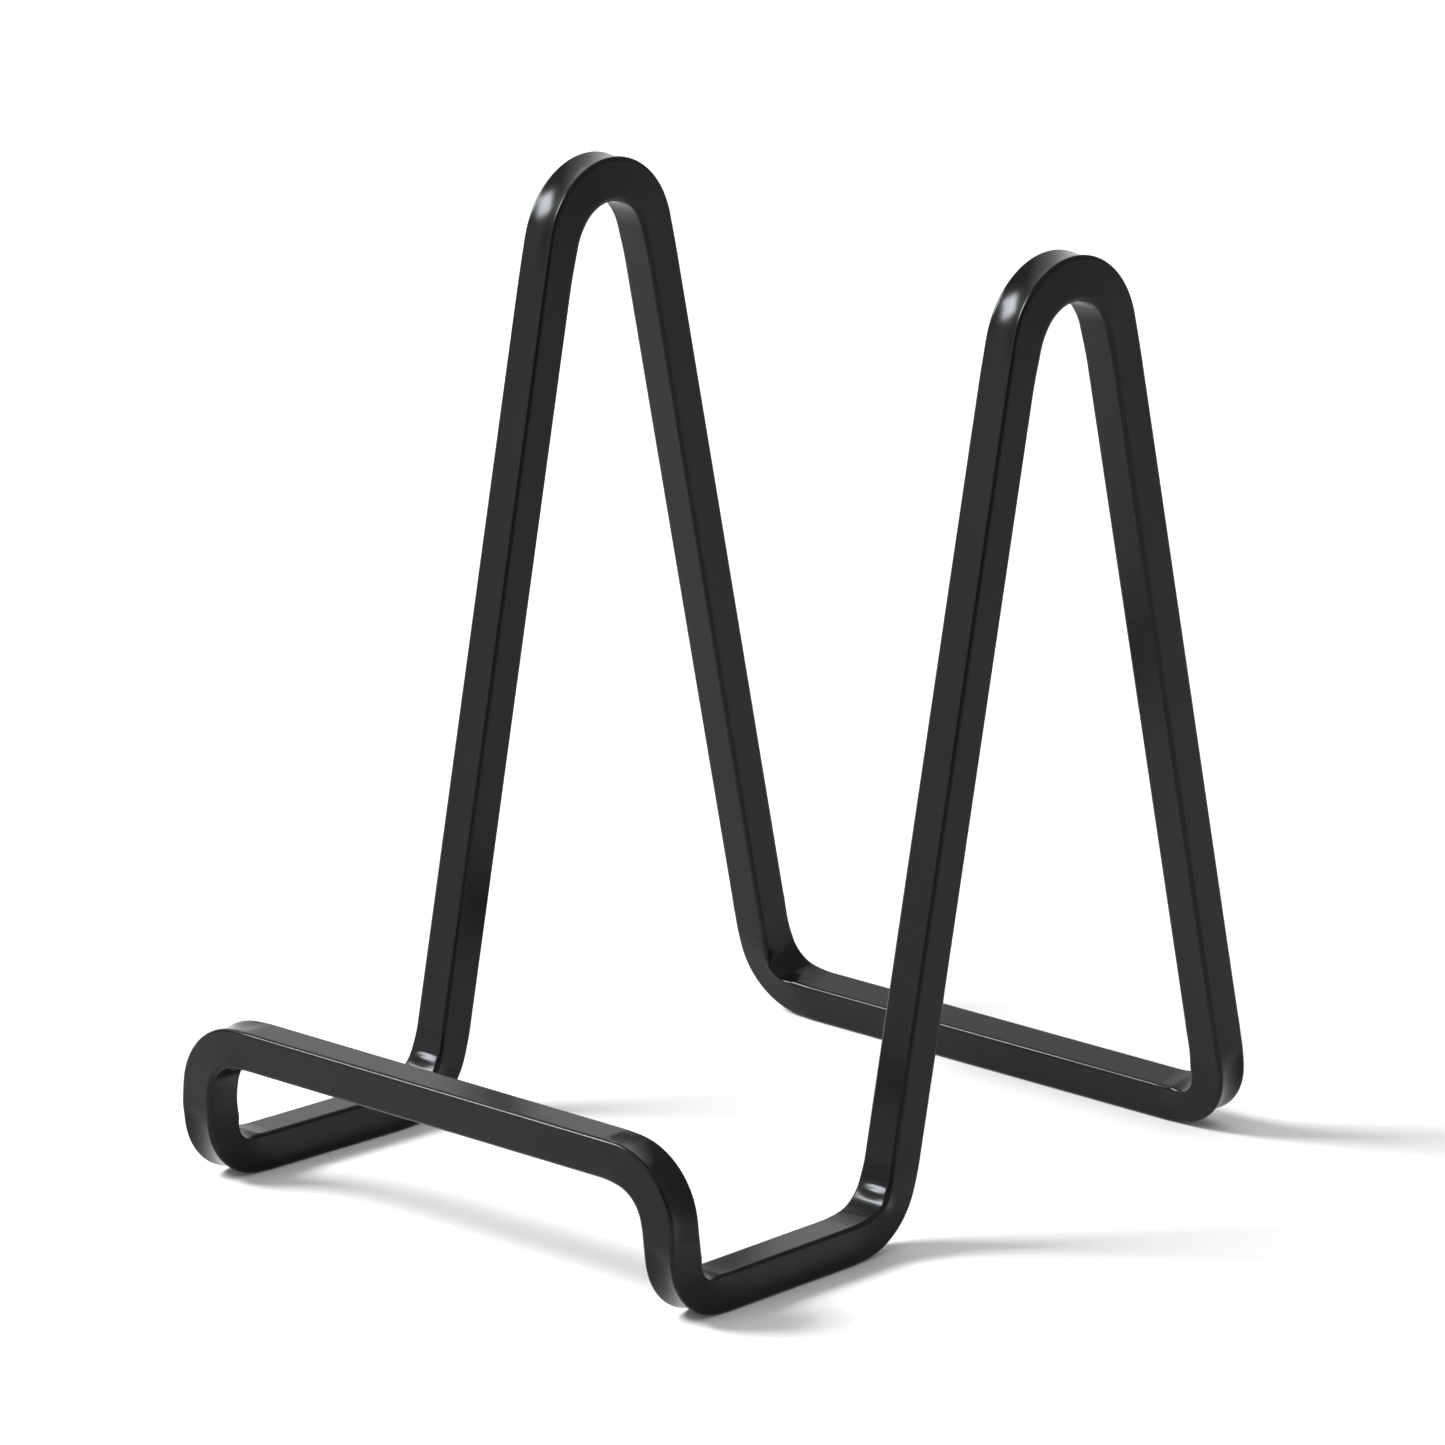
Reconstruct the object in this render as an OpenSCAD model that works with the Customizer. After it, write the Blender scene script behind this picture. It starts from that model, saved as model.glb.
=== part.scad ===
// Tabletop stand bent from square steel bar, which holds a photo album or a
// framed picture. Each side bar is a lip, a foot rail, a front leg, a hairpin and
// a rear leg. Two cross bars join the side bars: the front one at the top of the
// lips, and the rear one on the ground. The four butt welds between the bars are
// ground flush.
//
// The origin is the centre of the footprint, on the surface the stand rests on.
// X runs from left to right as seen from the front, Y to the back and Z up.

/* [Bar] */
// Side of the square bar
bar = 6; // [4:0.5:7]
// Rounding of the bar's long edges
edge_r = 0.6; // [0.3:0.1:1]

/* [Stand] */
// Distance between the centre lines of the two side bars
side_spacing = 93; // [40:1:400]
// Overall height, to the top of the hairpins
height = 141; // [110:1:400]
// Length of a foot rail, between the corners of its centre line
rail_length = 45.2; // [20:0.1:150]
// Lean of the front legs to the back, in degrees from vertical
front_lean = 11.7; // [2:0.1:25]
// Lean of the rear legs to the front, in degrees from vertical
rear_lean = 12.6; // [4:0.1:25]

/* [Lip] */
// Height of the front cross bar's centre line
front_bar_height = 22.9; // [22.2:0.1:60]
// Lean of the lips to the front, in degrees from vertical
lip_lean = 1.7; // [0:0.1:6]

/* [Bends] */
// Centre line radius of the corners of the front cross bar
front_corner_r = 8.8; // [5:0.1:9.6]
// Centre line radius of the bend between a lip and its foot rail
lip_bend_r = 7.5; // [5:0.1:7.9]
// Centre line radius of the bend between a foot rail and its front leg
leg_bend_r = 9.3; // [5:0.1:20]
// Centre line radius of the hairpins at the top of the legs
hairpin_r = 10.5; // [6:0.1:20]
// Centre line radius of the corners of the rear cross bar
rear_corner_r = 8.3; // [5:0.1:12]

/* [Welds] */
// Gap between the two bar ends at the root of a weld
weld_gap = 1.2; // [0.6:0.1:2]
// Depth of the bevel around each welded bar end
weld_bevel = 1.1; // [0.5:0.1:1.5]
// Distance from the centre line of the rear cross bar up to the rear welds
rear_weld_at = 14; // [11:1:60]

/* [Hidden] */
$fn = 48;
coat = "#2e2f33";
coated_weld = "#45464b";

half = bar / 2;
side_x = side_spacing / 2;
// Bends are slimmer than the straight bar by this much all round, and run this
// far into the straight bar at each end
ease = 0.01;
lap = 0.1;
// How far the block that shapes a bevel reaches past the bar
past = 0.5;

// Half the height of the section when it is turned by an angle
function reach(angle) = (half - edge_r) * (cos(angle) + sin(angle)) + edge_r;

// Unit vector along a heading in a drawing plane, in degrees
function along(heading) = [cos(heading), sin(heading)];

// How much of the centre line a bend takes up on each side of its corner
function setback(turn, radius) = radius * tan(abs(turn) / 2);

// The side bar's turns, seen from the side with Y across and Z up: from the lip
// to the rail, up to the front leg, and over the hairpin to the rear leg
lip_heading = lip_lean - 90;
rear_leg_heading = rear_lean - 90;
lip_turn = 90 - lip_lean;
leg_turn = 90 - front_lean;
hairpin_turn = front_lean + rear_lean - 180;
lip_setback = setback(lip_turn, lip_bend_r);
leg_setback = setback(leg_turn, leg_bend_r);
hairpin_setback = setback(hairpin_turn, hairpin_r);

// Places in the side view, with Y measured from the corner of the lip
rear_bar_height = reach(rear_lean);
hairpin_height = height - half + ease - hairpin_r;
hairpin_y = rail_length + (hairpin_height - half) * tan(front_lean) + hairpin_r / cos(front_lean);
rear_bar_y = hairpin_y + hairpin_r / cos(rear_lean) + (hairpin_height - rear_bar_height) * tan(rear_lean);
front_bar_y = -(front_bar_height - half) * tan(lip_lean);
// The middle of the footprint, which becomes Y = 0
centre_y = (front_bar_y - reach(lip_lean) + rear_bar_y + reach(rear_lean)) / 2;

// Lengths of centre line between the corners of the bends
lip_length = (front_bar_height - half) / cos(lip_lean);
hairpin_tip = [hairpin_y, hairpin_height]
    + hairpin_r / sin((front_lean + rear_lean) / 2) * along(90 + (rear_lean - front_lean) / 2);
front_leg_length = norm(hairpin_tip - [rail_length, half]);
rear_leg_length = norm(hairpin_tip - [rear_bar_y, rear_bar_height]);

// The front welds sit halfway up the straight stretch of the lips
weld_length = weld_gap + 2 * weld_bevel;
front_weld_at = (lip_setback + lip_length - front_corner_r) / 2;
front_weld_place = [0, half] - front_weld_at * along(lip_heading);
rear_weld_place = [rear_bar_y, rear_bar_height] - rear_weld_at * along(rear_leg_heading);

// Bends of a side bar, from its front weld to its rear weld. Each row is the
// straight length before a bend, the bend's turn in degrees and its radius.
side_bar_bends = [
    [front_weld_at - weld_gap / 2 - lip_setback, lip_turn, lip_bend_r],
    [rail_length - lip_setback - leg_setback, leg_turn, leg_bend_r],
    [front_leg_length - leg_setback - hairpin_setback, hairpin_turn, hairpin_r],
    [rear_leg_length - hairpin_setback - rear_weld_at - weld_gap / 2, 0, 0]
];

// Bends of a cross bar that runs up from one weld and down to the other
function cross_bar_bends(corner_r, weld_at) = [
    [weld_at - weld_gap / 2 - corner_r, -90, corner_r],
    [side_spacing - 2 * corner_r, -90, corner_r],
    [weld_at - weld_gap / 2 - corner_r, 0, 0]
];

// Square section with rounded edges, slimmer than the bar by inset all round
module section(inset = 0) {
    size = bar - 2 * inset;
    flat = bar - 2 * edge_r;
    square([size, flat], center = true);
    square([flat, size], center = true);
    for (x = [-flat / 2, flat / 2], y = [-flat / 2, flat / 2])
        translate([x, y])
            circle(r = edge_r - inset);
}

// Straight bar along Z
module straight(length) {
    linear_extrude(height = length)
        section();
}

// Block along Z whose far end narrows on all four sides to the bevelled nose of
// a bar end
module nose(length) {
    wide = half + past;
    narrow = half - weld_bevel - past;
    shoulder = length - weld_bevel - past;
    outline = [
        [-wide, -past], [wide, -past], [wide, shoulder],
        [narrow, length + past], [-narrow, length + past], [-wide, shoulder]
    ];
    intersection_for(turn = [0, 90])
        rotate([90, 0, turn])
            linear_extrude(height = 2 * wide, center = true)
                polygon(outline);
}

// Straight bar along Z with its far end bevelled for a weld
module welded_end(length) {
    intersection() {
        straight(length);
        nose(length);
    }
}

// Bend that starts at the origin along +X. A positive turn is to the left.
module bend(turn, radius) {
    lap_turn = lap / radius * 180 / PI;
    mirror([0, turn > 0 ? 0 : 1, 0])
        translate([0, radius, 0])
            rotate([0, 0, -90 - lap_turn])
                rotate_extrude(angle = abs(turn) + 2 * lap_turn)
                    translate([radius, 0])
                        section(ease);
}

// Bar bent in the drawing plane, starting at the origin along +X
module bent_bar(bends, i = 0) {
    length = bends[i][0];
    turn = bends[i][1];
    radius = bends[i][2];
    to_centre = [0, sign(turn) * radius, 0];
    if (i == 0)
        translate([length, 0, 0])
            rotate([90, 0, -90])
                welded_end(length);
    else if (i == len(bends) - 1)
        rotate([90, 0, 90])
            welded_end(length);
    else
        rotate([90, 0, 90])
            straight(length);
    if (i < len(bends) - 1)
        translate([length, 0, 0]) {
            bend(turn, radius);
            translate(to_centre)
                rotate([0, 0, turn])
                    translate(-to_centre)
                        bent_bar(bends, i + 1);
        }
}

// Weld metal along +X between two bevelled bar ends, centred on the origin
module weld() {
    translate([-weld_length / 2, 0, 0])
        rotate([90, 0, 90])
            difference() {
                straight(weld_length);
                nose(weld_bevel);
                translate([0, 0, weld_length])
                    mirror([0, 0, 1])
                        nose(weld_bevel);
            }
}

// Puts what is drawn along +X into the side view of one side, from a point along
// a heading. The side is -1 for left and 1 for right.
module in_side_view(side, start, heading) {
    translate([side * side_x, start.x - centre_y, start.y])
        rotate([90, 0, 90])
            rotate([0, 0, heading])
                children();
}

module side_bar(side) {
    in_side_view(side, front_weld_place + weld_gap / 2 * along(lip_heading), lip_heading)
        bent_bar(side_bar_bends);
}

module cross_bar(corner_r, weld_at) {
    translate([-side_x, weld_gap / 2 - weld_at, 0])
        rotate([0, 0, 90])
            bent_bar(cross_bar_bends(corner_r, weld_at));
}

module front_weld(side) {
    in_side_view(side, front_weld_place, lip_heading)
        weld();
}

module rear_weld(side) {
    in_side_view(side, rear_weld_place, rear_leg_heading)
        weld();
}

module left_side_bar() {
    color(coat)
        side_bar(-1);
}

module right_side_bar() {
    color(coat)
        side_bar(1);
}

// Runs along the top of the lips, in line with their lean
module front_cross_bar() {
    color(coat)
        translate([0, front_bar_y - centre_y, front_bar_height])
            rotate([90 + lip_lean, 0, 0])
                cross_bar(front_corner_r, lip_length - front_weld_at);
}

// Rests on its lower front edge, in line with the lean of the rear legs
module rear_cross_bar() {
    color(coat)
        translate([0, rear_bar_y - centre_y, rear_bar_height])
            rotate([90 + rear_lean, 0, 0])
                rotate([0, 0, 180])
                    cross_bar(rear_corner_r, rear_weld_at);
}

module front_left_weld() {
    color(coated_weld)
        front_weld(-1);
}

module front_right_weld() {
    color(coated_weld)
        front_weld(1);
}

module rear_left_weld() {
    color(coated_weld)
        rear_weld(-1);
}

module rear_right_weld() {
    color(coated_weld)
        rear_weld(1);
}

left_side_bar();
right_side_bar();
front_cross_bar();
rear_cross_bar();
front_left_weld();
front_right_weld();
rear_left_weld();
rear_right_weld();
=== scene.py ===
import math

import bpy
import numpy as np
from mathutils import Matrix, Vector


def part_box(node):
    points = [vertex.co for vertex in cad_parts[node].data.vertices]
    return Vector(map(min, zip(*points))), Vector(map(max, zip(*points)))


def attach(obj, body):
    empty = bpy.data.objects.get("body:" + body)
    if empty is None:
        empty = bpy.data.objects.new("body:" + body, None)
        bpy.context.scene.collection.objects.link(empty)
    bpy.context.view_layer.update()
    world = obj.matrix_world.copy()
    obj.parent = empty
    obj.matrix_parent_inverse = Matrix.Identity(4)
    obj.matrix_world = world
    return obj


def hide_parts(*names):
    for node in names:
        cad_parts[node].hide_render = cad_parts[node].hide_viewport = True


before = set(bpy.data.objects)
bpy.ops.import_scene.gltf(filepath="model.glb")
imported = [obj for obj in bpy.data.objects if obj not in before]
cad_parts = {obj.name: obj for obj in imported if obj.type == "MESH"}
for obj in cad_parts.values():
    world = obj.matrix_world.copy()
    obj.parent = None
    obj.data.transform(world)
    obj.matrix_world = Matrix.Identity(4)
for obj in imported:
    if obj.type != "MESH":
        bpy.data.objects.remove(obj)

MM = 0.001

# Bar stock
HALF = (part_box("left_side_bar")[1].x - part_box("left_side_bar")[0].x) / 2
EDGE_R = 0.6 * MM
FLAT_STEPS = 8
EDGE_STEPS = 6
# Width of the strip beside each rounded edge that keeps the shading of the flats flat
EDGE_GUARD = 0.06 * MM

# Shape of the stand, as in the CAD
FRONT_LEAN = math.radians(11.7)
REAR_LEAN = math.radians(12.6)
LIP_LEAN = math.radians(1.7)
RAIL_LENGTH = 45.2 * MM
FRONT_BAR_HEIGHT = 22.9 * MM
FRONT_CORNER_R = 8.8 * MM
LIP_BEND_R = 7.5 * MM
LEG_BEND_R = 9.3 * MM
HAIRPIN_R = 10.5 * MM
REAR_CORNER_R = 8.3 * MM
FRONT_WELD_UP = 9.0 * MM
REAR_WELD_UP = 14.0 * MM
WELD_GAP = 1.2 * MM
WELD_BEVEL = 1.1 * MM

# How far the corners of each side lie outwards of those in the CAD, and the tips above them
LIP_SPREAD = 0.5 * MM
HEEL_SPREAD = -0.8 * MM
TIP_SPREAD = -0.1 * MM
REAR_SPREAD = -0.1 * MM
TIP_RISE = 0.3 * MM

# What bending does to the section. The outside face sinks by a share of the bend's own sag, the
# inside face bulges and moves inwards, and the section narrows from the inside to the outside.
KEYSTONE = 0.2
OUTER_SINK = 0.85
INNER_CROWN = 0.15
INNER_PILE = 0.2 * MM
# How far into the straight bar these marks reach
FADE = 2.5 * MM

# The hairpins: inside face further inwards, outside face pushed out most at the top
HAIRPIN_PILE = 0.5 * MM
HAIRPIN_FLARE = 0.35 * MM
HAIRPIN_FADE = 7 * MM

# The inside of lip bends and rear corners is sharper along the front or right edge
CORNER_SINK = 1.15 * MM

# The inside of the bends between rails and front legs is folded. A swelling runs down to a
# straight crease, and both spread the bar to the right.
CREASE_AT = math.radians(34.8)
SWELL_ABOVE = 3.3 * MM
SWELL_TOP = 1.5 * MM
SWELL_HEIGHT = 0.28 * MM
SWELL_HALF_WIDTH = 2.8 * MM
SWELL_OFF_CENTRE = 0.5 * MM
FOLD_SOFT = 0.17 * MM
FOLD_SPREAD = 0.45 * MM
FOLD_SPREAD_REACH = 1.6 * MM

WELD_CROWN = 0.02 * MM
WELD_RINGS = 13

# Distances between rings
STRAIGHT_STEP = 2.5 * MM
BEND_STEP = 0.35 * MM
CREASE_STEP = 0.05 * MM
FOLD_STEP = 0.125 * MM

# Camera
CAMERA_AT = (1.030766, -1.089559, 0.493088)
CAMERA_TURN = math.radians(43.415)
CAMERA_DOWN = math.radians(15.863)
LENS = 264.49


# ---------------------------------------------------------------- the centre line

def unit(v):
    return v / np.linalg.norm(v)


def reach(angle):
    """Half the height of the section when it is turned by an angle."""
    return (HALF - EDGE_R) * (math.cos(angle) + math.sin(angle)) + EDGE_R


def corners():
    """Corners of the closed centre line, from the top of the left lip round to the top of
    the right lip, each with its bend radius."""
    side_x = (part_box("right_side_bar")[0].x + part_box("right_side_bar")[1].x) / 2
    front_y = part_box("front_cross_bar")[0].y + reach(LIP_LEAN)
    lip_y = front_y + (FRONT_BAR_HEIGHT - HALF) * math.tan(LIP_LEAN)
    heel_y = lip_y + RAIL_LENGTH
    rear_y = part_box("rear_cross_bar")[1].y - reach(REAR_LEAN)
    rear_z = reach(REAR_LEAN)
    front_slope, rear_slope = math.tan(FRONT_LEAN), math.tan(REAR_LEAN)
    tip_z = (rear_y - heel_y + HALF * front_slope + rear_z * rear_slope) / (front_slope + rear_slope)
    tip_y = heel_y + (tip_z - HALF) * front_slope
    left = [
        (side_x + LIP_SPREAD, front_y, FRONT_BAR_HEIGHT, FRONT_CORNER_R),
        (side_x + LIP_SPREAD, lip_y, HALF, LIP_BEND_R),
        (side_x + HEEL_SPREAD, heel_y, HALF, LEG_BEND_R),
        (side_x + TIP_SPREAD, tip_y, tip_z + TIP_RISE, HAIRPIN_R),
        (side_x + REAR_SPREAD, rear_y, rear_z, REAR_CORNER_R),
    ]
    return [(-x, y, z, r) for x, y, z, r in left] + left[::-1]


class Bend:
    """One rounded corner of the centre line."""

    def __init__(self, before, corner, after, radius):
        self.radius = radius
        self.into = unit(corner - before)
        out = unit(after - corner)
        self.turn = math.acos(self.into @ out)
        self.setback = radius * math.tan(self.turn / 2)
        self.axis = unit(np.cross(self.into, out))
        self.inner = np.cross(self.axis, self.into)
        self.begin = corner - self.into * self.setback
        self.end = corner + out * self.setback
        self.out = out
        self.length = radius * self.turn

    def at(self, along):
        """Point, heading and direction to the centre, at a distance into the bend."""
        angle = along / self.radius
        inner = self.inner * math.cos(angle) - self.into * math.sin(angle)
        centre = self.begin + self.inner * self.radius
        heading = self.into * math.cos(angle) + self.inner * math.sin(angle)
        return centre - inner * self.radius, heading, inner


class Line:
    """The closed centre line: bend i, then the straight bar up to the next bend."""

    def __init__(self):
        rows = corners()
        points = [np.array(row[:3]) for row in rows]
        count = len(rows)
        self.bends = [
            Bend(points[i - 1], points[i], points[(i + 1) % count], rows[i][3])
            for i in range(count)
        ]
        self.start = [0.0]
        for i, bend in enumerate(self.bends):
            onward = self.bends[(i + 1) % count].begin
            self.start.append(self.start[-1] + bend.length + np.linalg.norm(onward - bend.end))
        self.total = self.start[-1]

    def straight(self, i):
        """Where the straight bar after bend i begins and ends."""
        return self.start[i] + self.bends[i].length, self.start[i + 1]

    def at(self, s):
        """Point and heading at a distance along the line."""
        s %= self.total
        i = max(k for k in range(len(self.bends)) if self.start[k] <= s)
        bend, along = self.bends[i], s - self.start[i]
        if along <= bend.length:
            point, heading, _ = bend.at(along)
            return point, heading
        return bend.end + bend.out * (along - bend.length), bend.out

    def past_start(self, i, s):
        """How far s is past the start of bend i, or before it if negative."""
        return (s - self.start[i] + self.total / 2) % self.total - self.total / 2

    def influence(self, i, s):
        """How strongly bend i distorts the section at s, the direction to the bend's centre
        there, and how far along the bend's inside face s is."""
        bend = self.bends[i]
        along = self.past_start(i, s)
        inside = min(along, bend.length - along)
        fade = HAIRPIN_FADE if i in (TIP_L, TIP_R) else FADE
        share = min(1.0, max(0.0, (inside + fade) / (1.6 * fade)))
        share = share * share * (3 - 2 * share)
        _, _, inner = bend.at(min(max(along, 0.0), bend.length))
        face_r = bend.radius - HALF
        on_face = min(max(along, 0.0), bend.length) / bend.radius * face_r
        on_face += min(along, 0.0) + max(along - bend.length, 0.0)
        return share, inner, on_face


LINE = Line()
LIP_TOP_L, LIP_END_L, HEEL_L, TIP_L, REAR_L, REAR_R, TIP_R, HEEL_R, LIP_END_R, LIP_TOP_R = range(10)
SHARP_INSIDE = (LIP_END_L, LIP_END_R, REAR_L, REAR_R)


# ---------------------------------------------------------------- the section

def section():
    """Points round the square section with rounded edges, and how much each lies on an edge."""
    flat = HALF - EDGE_R
    guard = flat - EDGE_GUARD
    steps = np.concatenate([np.linspace(-guard, guard, FLAT_STEPS + 1), [flat]])
    points, edge = [], []
    for quarter in range(4):
        turn = quarter * math.pi / 2
        side = np.array([-math.sin(turn), math.cos(turn)])
        out = np.array([math.cos(turn), math.sin(turn)])
        for step in steps:
            points.append(out * HALF + side * step)
            edge.append(0.0)
        for k in range(1, EDGE_STEPS + 1):
            angle = k / EDGE_STEPS * math.pi / 2
            centre = (out + side) * flat
            points.append(centre + EDGE_R * (out * math.cos(angle) + side * math.sin(angle)))
            edge.append(math.sin(2 * angle))
    return np.array(points), np.array(edge)


SECTION, ON_EDGE = section()


def fold(depth, across, on_face, bend, upward):
    """How far the folded inside of a heel bend stands out from the plain bend, and how far it
    moves along the axis of the bend, at a distance along the inside face. upward says that the
    line runs from the rail up into the leg."""
    face_r = bend.radius - HALF
    if not upward:
        on_face = bend.turn * face_r - on_face
    above = on_face - (bend.turn - CREASE_AT) * face_r
    share = np.exp(-np.linspace(-2, 2, 9) ** 2)
    share /= share.sum()
    swell = np.interp(
        above + FOLD_SOFT * np.linspace(-2, 2, 9),
        [0, 0.9 * SWELL_TOP, 1.15 * SWELL_TOP, 0.8 * SWELL_ABOVE, SWELL_ABOVE],
        [0, 1, 1, 0.08, 0],
    )
    to_right = across * bend.axis[0]
    sideways = (to_right - SWELL_OFF_CENTRE) / SWELL_HALF_WIDTH
    out = SWELL_HEIGHT * (share @ swell) * max(0.0, 1 - sideways**2)
    on_top = min(1.0, max(0.0, (depth - (HALF - EDGE_R)) / EDGE_R))
    side = FOLD_SPREAD * math.exp(-((above / FOLD_SPREAD_REACH) ** 2)) * max(0.0, depth / HALF) ** 2
    return on_top * out, side * max(0.0, to_right) / HALF * bend.axis[0]


def bend_marks(i, s, offsets):
    """How bend i moves the points of the section at s."""
    bend = LINE.bends[i]
    share, inner, on_face = LINE.influence(i, s)
    if share == 0:
        return np.zeros_like(offsets)
    depth, across = offsets @ inner, offsets @ bend.axis
    place = min(max(on_face / (bend.turn * (bend.radius - HALF)), 0.0), 1.0)
    midway = math.sin(math.pi * place) ** 2
    pile, flare = INNER_PILE, 0.0
    if i in (TIP_L, TIP_R):
        pile, flare = HAIRPIN_PILE, HAIRPIN_FLARE * midway
    elif i in SHARP_INSIDE:
        to_front_right = across / HALF * np.sign(bend.axis[0] - bend.axis[1])
        pile = INNER_PILE - CORNER_SINK * midway * (1 + to_front_right) / 2
    to_face = (abs(depth) / HALF) ** 4
    dish = np.where(depth < 0, OUTER_SINK, INNER_CROWN) / (2 * bend.radius)
    dish = dish * (HALF**2 - across**2) * to_face
    dish = dish + np.where(depth > 0, pile, -flare) * to_face
    widen = KEYSTONE * depth / bend.radius * across
    moves = np.outer(dish, inner) + np.outer(widen, bend.axis)
    if i in (HEEL_L, HEEL_R):
        folds = [fold(d, x, on_face, bend, i == HEEL_L) for d, x in zip(depth, across)]
        moves = moves + np.array(folds) @ np.array([inner, bend.axis])
    return share * moves


def ring(s, plane, crown=0.0):
    """The section at s as points in space. plane is a direction that the section stays square to."""
    point, heading = LINE.at(s)
    b_axis = unit(plane - heading * (plane @ heading))
    a_axis = np.cross(b_axis, heading)
    offsets = SECTION[:, :1] * a_axis + SECTION[:, 1:] * b_axis
    moved = offsets * (1 + crown / HALF)
    for i in range(len(LINE.bends)):
        moved = moved + bend_marks(i, s, offsets)
    points = point + moved
    points[:, 2] = np.maximum(points[:, 2], 0.0)
    return points


def step_at(s):
    """Distance from the ring at s to the next one: short in bends, shortest at the folds."""
    step = STRAIGHT_STEP
    for i, bend in enumerate(LINE.bends):
        along = LINE.past_start(i, s)
        gap = max(-along, along - bend.length)
        fade = HAIRPIN_FADE if i in (TIP_L, TIP_R) else FADE
        if gap < fade + STRAIGHT_STEP:
            step = min(step, BEND_STEP if gap < fade else max(BEND_STEP, gap - fade))
        if i in (HEEL_L, HEEL_R):
            crease = bend.turn - CREASE_AT if i == HEEL_L else CREASE_AT
            off = abs(along - crease * bend.radius)
            if off < 0.5 * MM:
                step = min(step, CREASE_STEP)
            elif off < 4 * MM:
                step = min(step, FOLD_STEP)
    return step


def stations(begin, end):
    """Distances along the line for rings from begin to end."""
    places = [begin]
    while places[-1] < end - 1e-7:
        places.append(min(places[-1] + step_at(places[-1]), end))
    if len(places) > 2 and places[-1] - places[-2] < CREASE_STEP / 2:
        places.pop(-2)
    return places


# ---------------------------------------------------------------- meshes

def bar_end(rings, s, away):
    """Adds the bevelled nose of a bar end, past the ring at s."""
    point, heading = LINE.at(s)
    shoulder = rings[-1] if away > 0 else rings[0]
    tip = point + heading * away * WELD_BEVEL
    nose = tip + (shoulder - point) * (1 - WELD_BEVEL / HALF)
    if away > 0:
        rings.append(nose)
    else:
        rings.insert(0, nose)


def mesh_from_rings(name, rings, sharp_rings):
    """A closed mesh through the rings, with flat ends and smooth shading except at sharp rings."""
    count = len(SECTION)
    points = np.concatenate(rings + [rings[0].mean(0)[None], rings[-1].mean(0)[None]])
    first, last = len(points) - 2, len(points) - 1
    top = (len(rings) - 1) * count
    faces = []
    for r in range(len(rings) - 1):
        for k in range(count):
            n = (k + 1) % count
            faces.append((r * count + k, r * count + n, (r + 1) * count + n, (r + 1) * count + k))
    for k in range(count):
        n = (k + 1) % count
        faces.append((first, n, k))
        faces.append((last, top + k, top + n))
    mesh = bpy.data.meshes.new(name)
    mesh.from_pydata([tuple(p) for p in points], [], faces)
    mesh.update()
    mesh.polygons.foreach_set("use_smooth", [True] * len(mesh.polygons))
    sharp = np.zeros(len(mesh.edges), bool)
    for e in mesh.edges:
        a, b = e.vertices
        if a < first and b < first and a // count == b // count and a // count in sharp_rings:
            sharp[e.index] = True
    mesh.attributes.new("sharp_edge", "BOOLEAN", "EDGE").data.foreach_set("value", sharp)
    edge = np.concatenate([np.tile(ON_EDGE, len(rings)), [0, 0]])
    mesh.attributes.new("edge", "FLOAT", "POINT").data.foreach_set("value", edge.astype(np.float32))
    piece = bpy.data.objects.new(name, mesh)
    bpy.context.scene.collection.objects.link(piece)
    return piece


def bar_piece(name, node, begin, end, plane, material):
    """A bent bar between two welds, which stands for its CAD node."""
    rings = [ring(s, plane) for s in stations(begin, end)]
    bar_end(rings, begin, -1)
    bar_end(rings, end, 1)
    piece = mesh_from_rings(name, rings, {0, 1, len(rings) - 2, len(rings) - 1})
    finish_piece(piece, node, material)


def weld_piece(name, node, middle, plane, material):
    """A ground weld between two bar ends, hollowed at both ends to fit their noses."""
    length = WELD_GAP + 2 * WELD_BEVEL
    places = np.linspace(-length / 2, length / 2, WELD_RINGS)
    rings = [ring(middle + p, plane, WELD_CROWN * math.cos(math.pi * p / length) ** 2) for p in places]
    bar_end(rings, middle + places[-1], 1)
    rings[-1] -= 2 * WELD_BEVEL * LINE.at(middle)[1]
    bar_end(rings, middle + places[0], -1)
    rings[0] += 2 * WELD_BEVEL * LINE.at(middle)[1]
    piece = mesh_from_rings(name, rings, {0, 1, len(rings) - 2, len(rings) - 1})
    finish_piece(piece, node, material)


def finish_piece(piece, node, material):
    piece.data.materials.append(material)
    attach(piece, "root")
    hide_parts(node)


# ---------------------------------------------------------------- materials

def new_material(name):
    material = bpy.data.materials.new(name)
    material.use_nodes = True
    nodes, links = material.node_tree.nodes, material.node_tree.links
    return material, nodes, links, nodes["Principled BSDF"]


def noise(nodes, links, where, scale, detail, roughness=0.5):
    node = nodes.new("ShaderNodeTexNoise")
    node.inputs["Scale"].default_value = scale
    node.inputs["Detail"].default_value = detail
    node.inputs["Roughness"].default_value = roughness
    links.new(where, node.inputs["Vector"])
    return node.outputs["Fac"]


def map_range(nodes, links, value, low, high, to_low, to_high):
    node = nodes.new("ShaderNodeMapRange")
    for socket, number in zip(("From Min", "From Max", "To Min", "To Max"), (low, high, to_low, to_high)):
        node.inputs[socket].default_value = number
    links.new(value, node.inputs["Value"])
    return node.outputs["Result"]


def bump(nodes, links, height, distance, strength, after=None):
    node = nodes.new("ShaderNodeBump")
    node.inputs["Distance"].default_value = distance
    node.inputs["Strength"].default_value = strength
    links.new(height, node.inputs["Height"])
    if after:
        links.new(after, node.inputs["Normal"])
    return node.outputs["Normal"]


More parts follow.
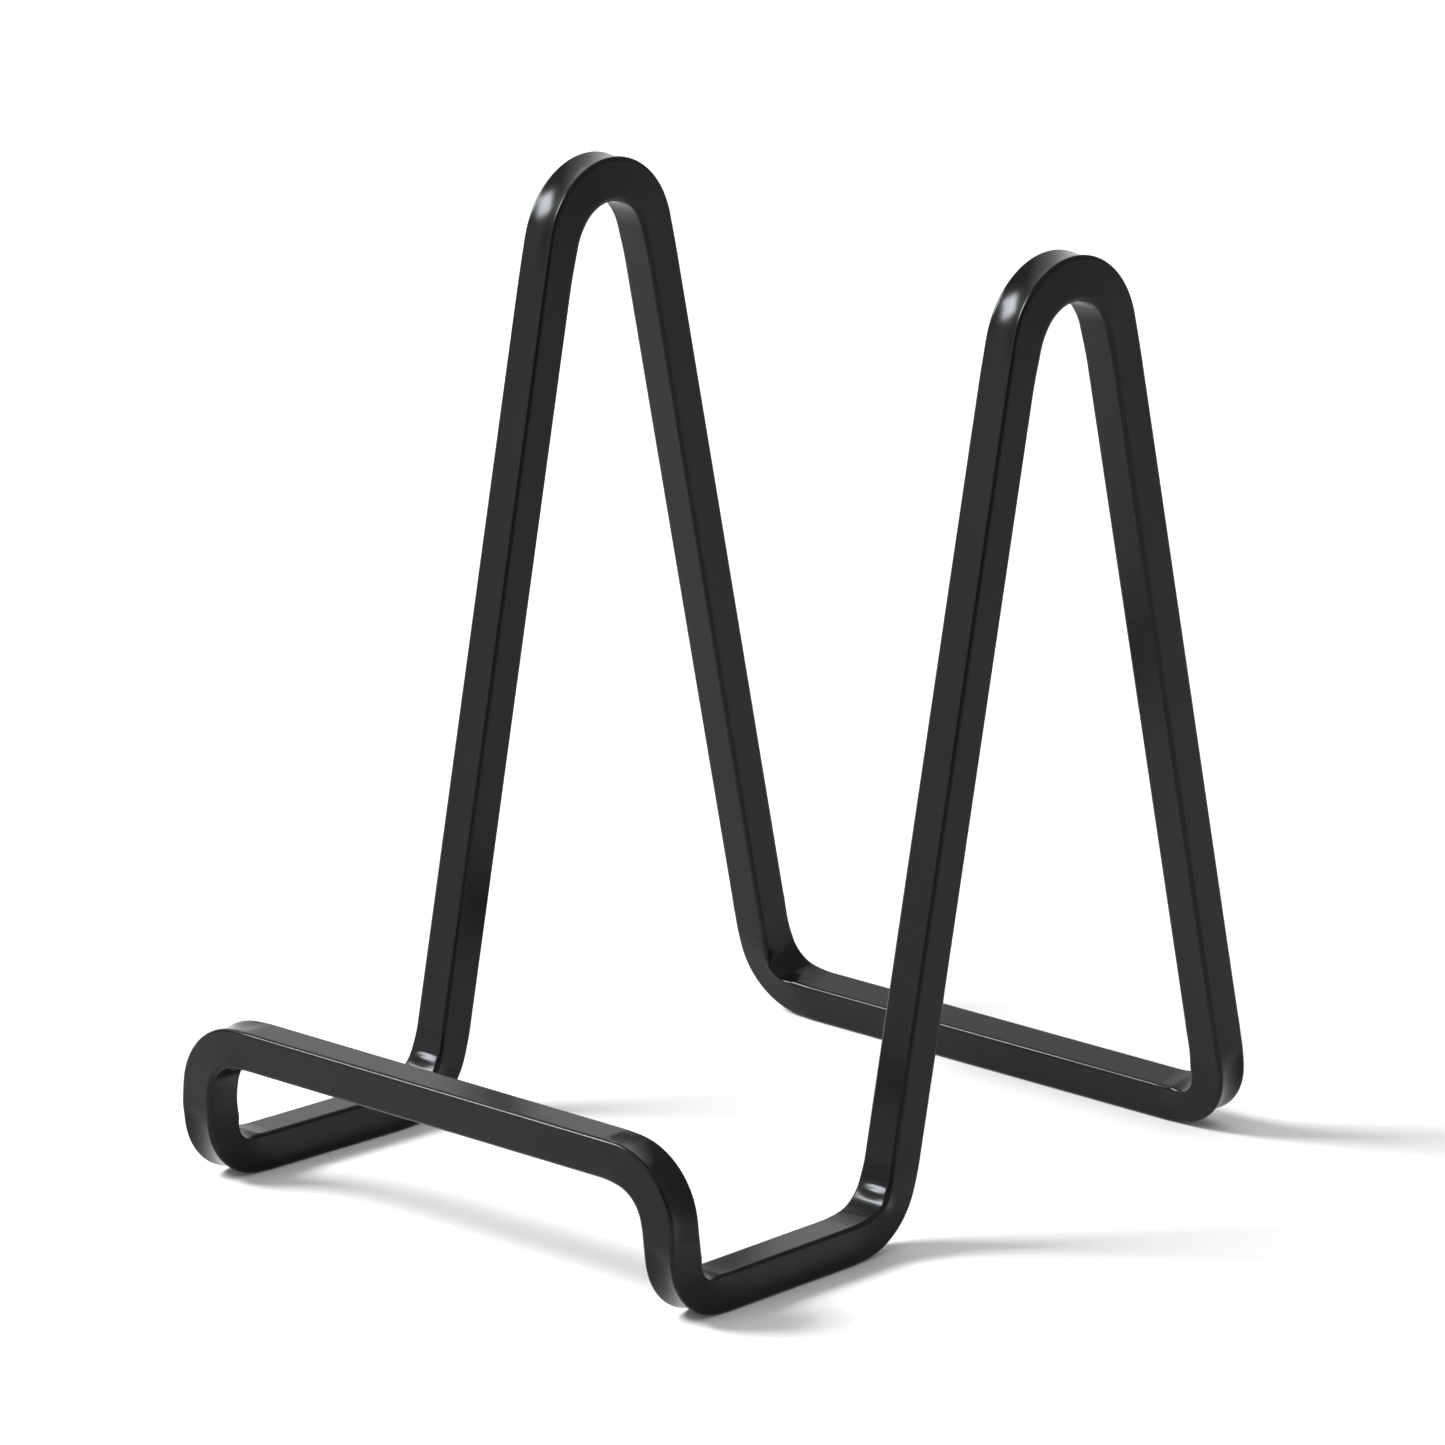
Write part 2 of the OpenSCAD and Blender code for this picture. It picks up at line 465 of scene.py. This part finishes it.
def powder_coat(name, peel, grind):
    """Satin black powder coat: soft orange peel, a fine grain, and colour and gloss that drift a
    little from place to place. The coat is thinner and glossier on the long edges."""
    material, nodes, links, shader = new_material(name)
    where = nodes.new("ShaderNodeTexCoord").outputs["Object"]
    drift = noise(nodes, links, where, 45, 3)
    mottle = noise(nodes, links, where, 380, 2)
    edge = nodes.new("ShaderNodeAttribute")
    edge.attribute_name = "edge"

    colour = nodes.new("ShaderNodeValToRGB")
    colour.color_ramp.elements[0].position = 0.3
    colour.color_ramp.elements[0].color = (0.0028, 0.0031, 0.0036, 1)
    colour.color_ramp.elements[1].position = 0.7
    colour.color_ramp.elements[1].color = (0.0040, 0.0044, 0.0050, 1)
    links.new(drift, colour.inputs["Fac"])
    links.new(colour.outputs["Color"], shader.inputs["Base Color"])

    add = nodes.new("ShaderNodeMath")
    add.operation = "ADD"
    links.new(map_range(nodes, links, drift, 0.3, 0.7, 0.20, 0.24), add.inputs[0])
    links.new(map_range(nodes, links, mottle, 0.3, 0.7, -0.012, 0.018), add.inputs[1])
    thin = nodes.new("ShaderNodeMath")
    thin.operation = "SUBTRACT"
    links.new(add.outputs[0], thin.inputs[0])
    links.new(map_range(nodes, links, edge.outputs["Fac"], 0, 1, 0, 0.03), thin.inputs[1])
    links.new(thin.outputs[0], shader.inputs["Roughness"])
    shader.inputs["Specular IOR Level"].default_value = 0.177
    shader.inputs["Specular Tint"].default_value = (0.93, 0.965, 1.0, 1)

    normal = bump(nodes, links, noise(nodes, links, where, 700, 1.5), peel, 1.0)
    normal = bump(nodes, links, noise(nodes, links, where, 5200, 2, 0.6), 0.0008 * MM, 1.0, normal)
    if grind:
        stretch = nodes.new("ShaderNodeMapping")
        stretch.inputs["Scale"].default_value = (1, 1, 0.08)
        links.new(where, stretch.inputs["Vector"])
        scratches = noise(nodes, links, stretch.outputs["Vector"], 5000, 2)
        normal = bump(nodes, links, scratches, grind, 1.0, normal)
    links.new(normal, shader.inputs["Normal"])
    return material


def floor_material():
    material, nodes, links, shader = new_material("pale_floor")
    where = nodes.new("ShaderNodeTexCoord").outputs["Object"]
    colour = nodes.new("ShaderNodeValToRGB")
    colour.color_ramp.elements[0].color = (0.80, 0.80, 0.80, 1)
    colour.color_ramp.elements[1].color = (0.83, 0.83, 0.83, 1)
    links.new(noise(nodes, links, where, 3, 2), colour.inputs["Fac"])
    links.new(colour.outputs["Color"], shader.inputs["Base Color"])
    shader.inputs["Roughness"].default_value = 0.9
    shader.inputs["Specular IOR Level"].default_value = 0.1
    return material


# ---------------------------------------------------------------- stage, light and camera

def make_floor():
    mesh = bpy.data.meshes.new("floor")
    size = 5.0
    outline = [(-size, -size, 0), (size, -size, 0), (size, size, 0), (-size, size, 0)]
    mesh.from_pydata(outline, [], [(0, 1, 2, 3)])
    floor = bpy.data.objects.new("floor", mesh)
    floor.location.z = -0.02 * MM
    mesh.materials.append(floor_material())
    bpy.context.scene.collection.objects.link(floor)


def softbox(name, direction, distance, width, height, power, aim=(0, 0, 0.06)):
    """A rectangular soft light, in a direction from the stand, that faces the stand."""
    light = bpy.data.lights.new(name, "AREA")
    light.shape = "RECTANGLE"
    light.size, light.size_y = width, height
    light.energy = power
    lamp = bpy.data.objects.new(name, light)
    aim = Vector(aim)
    lamp.location = aim + Vector(direction).normalized() * distance
    lamp.rotation_euler = (lamp.location - aim).to_track_quat("Z", "Y").to_euler()
    bpy.context.scene.collection.objects.link(lamp)


def make_lights():
    softbox("key", (-0.59, -0.49, 0.64), 1.6, 0.58, 0.54, 38, aim=(0.02, 0, 0.08))
    softbox("back_low", (-0.66, 0.70, 0.22), 1.0, 1.2, 0.5, 1.4)
    softbox("back_high", (-0.60, 0.60, 0.75), 1.0, 1.2, 0.5, 1.15)
    softbox("left", (-1.0, 0.1, 0.35), 1.0, 0.8, 0.6, 1.6)
    softbox("front", (0.1, -1.0, 0.5), 1.0, 0.6, 0.6, 1.06)
    softbox("front_low", (-0.5, -1.0, 0.25), 1.0, 0.8, 0.4, 0.96)


def make_world():
    """A pale studio, brightest round the side the stand is photographed from, with the camera
    itself in front of something dark."""
    world = bpy.data.worlds.new("studio")
    world.use_nodes = True
    bpy.context.scene.world = world
    nodes, links = world.node_tree.nodes, world.node_tree.links
    where = nodes.new("ShaderNodeTexCoord").outputs["Generated"]
    towards = nodes.new("ShaderNodeVectorMath")
    towards.operation = "DOT_PRODUCT"
    towards.inputs[1].default_value = (0.68, -0.7, 0.2)
    links.new(where, towards.inputs[0])
    shade = nodes.new("ShaderNodeValToRGB")
    stops = shade.color_ramp.elements
    stops[0].position, stops[0].color = 0.3, (0.40, 0.405, 0.415, 1)
    stops[1].position, stops[1].color = 0.94, (0.10, 0.10, 0.105, 1)
    stops.new(0.8).color = (0.76, 0.76, 0.765, 1)
    stops.new(0.88).color = (0.76, 0.76, 0.765, 1)
    links.new(map_range(nodes, links, towards.outputs["Value"], -1, 1, 0, 1), shade.inputs["Fac"])
    links.new(shade.outputs["Color"], nodes["Background"].inputs["Color"])


def make_camera():
    camera = bpy.data.cameras.new("camera")
    camera.lens = LENS
    camera.sensor_width = 36
    camera.clip_start, camera.clip_end = 0.1, 50
    shooter = bpy.data.objects.new("camera", camera)
    shooter.location = CAMERA_AT
    shooter.rotation_euler = (math.pi / 2 - CAMERA_DOWN, 0, CAMERA_TURN)
    bpy.context.scene.collection.objects.link(shooter)
    bpy.context.scene.camera = shooter


def make_stand():
    coat = powder_coat("satin_black_coat", 0.006 * MM, 0)
    weld_coat = powder_coat("satin_black_coat_on_weld", 0.004 * MM, 0.001 * MM)
    across = np.array([1.0, 0, 0])
    front_plane = LINE.bends[LIP_TOP_L].axis
    rear_plane = LINE.bends[REAR_L].axis
    half_weld = WELD_GAP / 2 + WELD_BEVEL
    front_weld_l = LINE.straight(LIP_TOP_L)[1] + LINE.bends[LIP_END_L].setback - FRONT_WELD_UP
    rear_weld_l = LINE.straight(TIP_L)[1] + LINE.bends[REAR_L].setback - REAR_WELD_UP
    rear_weld_r = LINE.straight(REAR_R)[0] - LINE.bends[REAR_R].setback + REAR_WELD_UP
    front_weld_r = LINE.straight(LIP_END_R)[0] - LINE.bends[LIP_END_R].setback + FRONT_WELD_UP
    bars = [
        ("left_side", front_weld_l, rear_weld_l, across),
        ("rear_cross", rear_weld_l, rear_weld_r, rear_plane),
        ("right_side", rear_weld_r, front_weld_r, across),
        ("front_cross", front_weld_r, LINE.total + front_weld_l, front_plane),
    ]
    for name, begin, end, plane in bars:
        bar_piece(name + "_bent_bar", name + "_bar", begin + half_weld, end - half_weld, plane, coat)
    welds = [
        ("front_left", front_weld_l), ("rear_left", rear_weld_l),
        ("rear_right", rear_weld_r), ("front_right", front_weld_r),
    ]
    for name, middle in welds:
        weld_piece(name + "_ground_weld", name + "_weld", middle, across, weld_coat)


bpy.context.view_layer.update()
make_stand()
make_floor()
make_world()
make_lights()
make_camera()
bpy.context.scene.view_settings.view_transform = "Standard"
